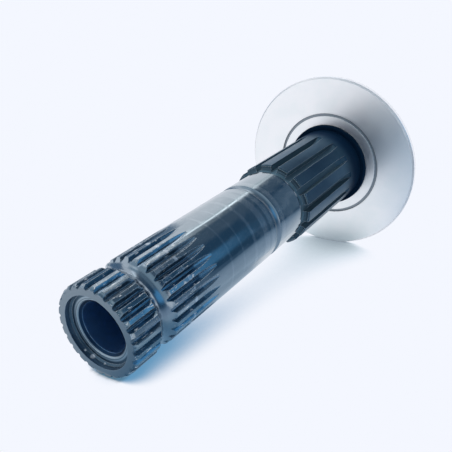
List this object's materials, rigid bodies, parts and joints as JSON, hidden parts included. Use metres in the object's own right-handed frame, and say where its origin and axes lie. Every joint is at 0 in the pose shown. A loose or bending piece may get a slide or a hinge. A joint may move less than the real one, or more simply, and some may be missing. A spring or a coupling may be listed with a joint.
{
  "type": "kickstart shaft",
  "caption": "Hollow steel kickstart shaft with lever splines, a clamp groove, a ground journal and gear splines above a thin round flange.",
  "frame": {"origin": "centre of the flange's back face", "axes": "+Z along the shaft's axis, from the flange to the lever end"},
  "size_m": [0.0596, 0.0594, 0.114],
  "materials": {
    "steel": "ground and polished"
  },
  "bodies": {
    "root": {"kickstart_shaft": "steel"}
  },
  "joints": []
}
